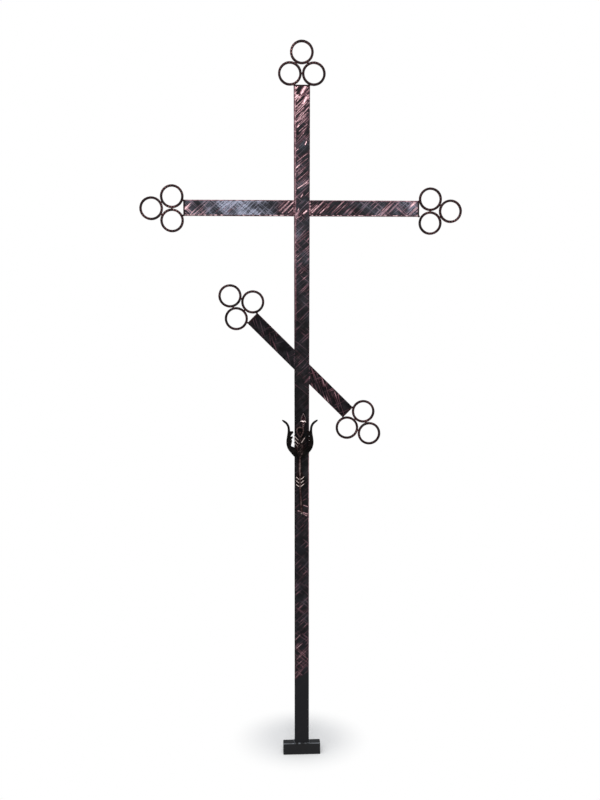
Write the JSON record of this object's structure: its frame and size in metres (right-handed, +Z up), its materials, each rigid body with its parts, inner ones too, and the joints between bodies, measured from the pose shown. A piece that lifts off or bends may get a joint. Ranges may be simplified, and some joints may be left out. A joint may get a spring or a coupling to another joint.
{
  "type": "wrought iron grave cross",
  "caption": "Forged iron grave cross: hammered tube post, level crossbar, slanted footrest bar, ring trefoils at the ends, a forged flower on the front and a crosswise foot.",
  "frame": {"origin": "middle of the foot's flat underside, at ground level", "axes": "+Z up along the post; +X to the viewer's right along the crossbar; the front with the flower looks along -Y"},
  "size_m": [0.8646, 0.0482, 1.9665],
  "materials": {
    "hammered_steel": "hammered and chiselled, blackened, with copper patina on the raised marks",
    "black_paint": "smooth satin black paint on steel",
    "ring_iron": "forged, dark brown-black, hammered",
    "flower_iron": "forged, blackened, edges rubbed with copper patina"
  },
  "bodies": {
    "root": {"foot": "black_paint", "post": "hammered_steel", "top_cap": "hammered_steel", "left_arm": "hammered_steel", "left_arm_cap": "hammered_steel", "right_arm": "hammered_steel", "right_arm_cap": "hammered_steel", "footrest_high_arm": "hammered_steel", "footrest_high_arm_cap": "hammered_steel", "footrest_low_arm": "hammered_steel", "footrest_low_arm_cap": "hammered_steel", "top_ring_tip": "ring_iron", "top_ring_left": "ring_iron", "top_ring_right": "ring_iron", "left_ring_tip": "ring_iron", "left_ring_lower": "ring_iron", "left_ring_upper": "ring_iron", "right_ring_tip": "ring_iron", "right_ring_upper": "ring_iron", "right_ring_lower": "ring_iron", "high_ring_tip": "ring_iron", "high_ring_lower": "ring_iron", "high_ring_upper": "ring_iron", "low_ring_tip": "ring_iron", "low_ring_upper": "ring_iron", "low_ring_lower": "ring_iron", "flower": "flower_iron", "stem": "flower_iron"}
  },
  "joints": []
}
